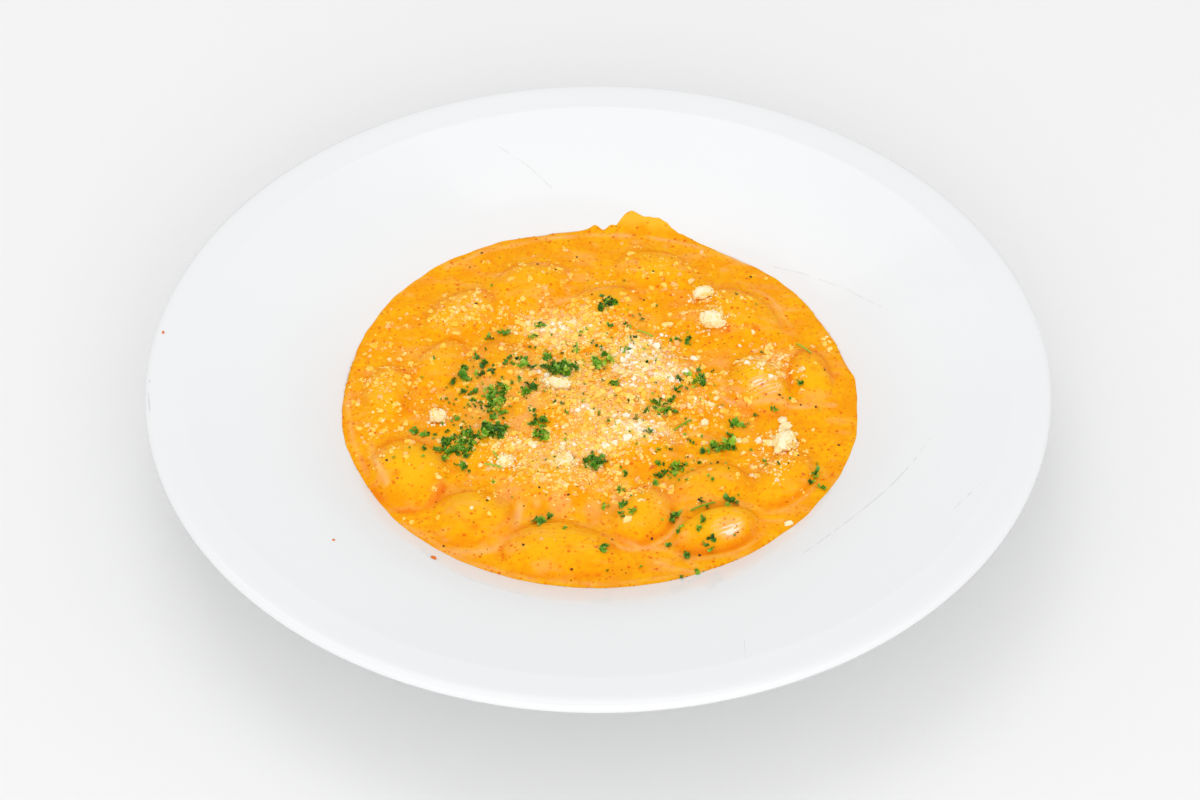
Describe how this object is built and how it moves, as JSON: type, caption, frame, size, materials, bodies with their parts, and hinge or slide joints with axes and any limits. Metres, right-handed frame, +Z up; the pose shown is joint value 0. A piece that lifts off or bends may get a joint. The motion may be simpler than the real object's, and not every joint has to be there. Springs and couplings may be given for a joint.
{
  "type": "gnocchi on a plate",
  "caption": "Wide white pasta plate with a pool of orange sauce, soft potato gnocchi standing in it, grated cheese and chopped parsley.",
  "frame": {"origin": "on the table under the middle of the plate's foot ring", "axes": "+Z up out of the plate, -Y towards the diner"},
  "size_m": [0.29, 0.29, 0.0399],
  "materials": {
    "porcelain": "glossy white glaze",
    "sauce": "wet creamy orange sauce",
    "dough": "soft dough coated with sauce",
    "cheese": "dry crumbly cheese",
    "parsley": "fresh chopped leaf"
  },
  "bodies": {
    "root": {"plate": "porcelain", "sauce": "sauce", "gnocco_01": "dough", "gnocco_02": "dough", "gnocco_03": "dough", "gnocco_04": "dough", "gnocco_05": "dough", "gnocco_06": "dough", "gnocco_07": "dough", "gnocco_08": "dough", "gnocco_09": "dough", "gnocco_10": "dough", "gnocco_11": "dough", "gnocco_12": "dough", "gnocco_13": "dough", "gnocco_14": "dough", "gnocco_15": "dough", "gnocco_16": "dough", "gnocco_17": "dough", "gnocco_18": "dough", "gnocco_19": "dough", "gnocco_20": "dough", "gnocco_21": "dough", "gnocco_22": "dough", "cheese_lump_1": "cheese", "cheese_lump_2": "cheese", "cheese_lump_3": "cheese", "cheese_lump_4": "cheese", "cheese_lump_5": "cheese", "cheese_lump_6": "cheese", "cheese_lump_7": "cheese", "parsley_01": "parsley", "parsley_02": "parsley", "parsley_03": "parsley", "parsley_04": "parsley", "parsley_05": "parsley", "parsley_06": "parsley", "parsley_07": "parsley", "parsley_08": "parsley", "parsley_09": "parsley", "parsley_10": "parsley", "parsley_11": "parsley", "parsley_12": "parsley"}
  },
  "joints": []
}
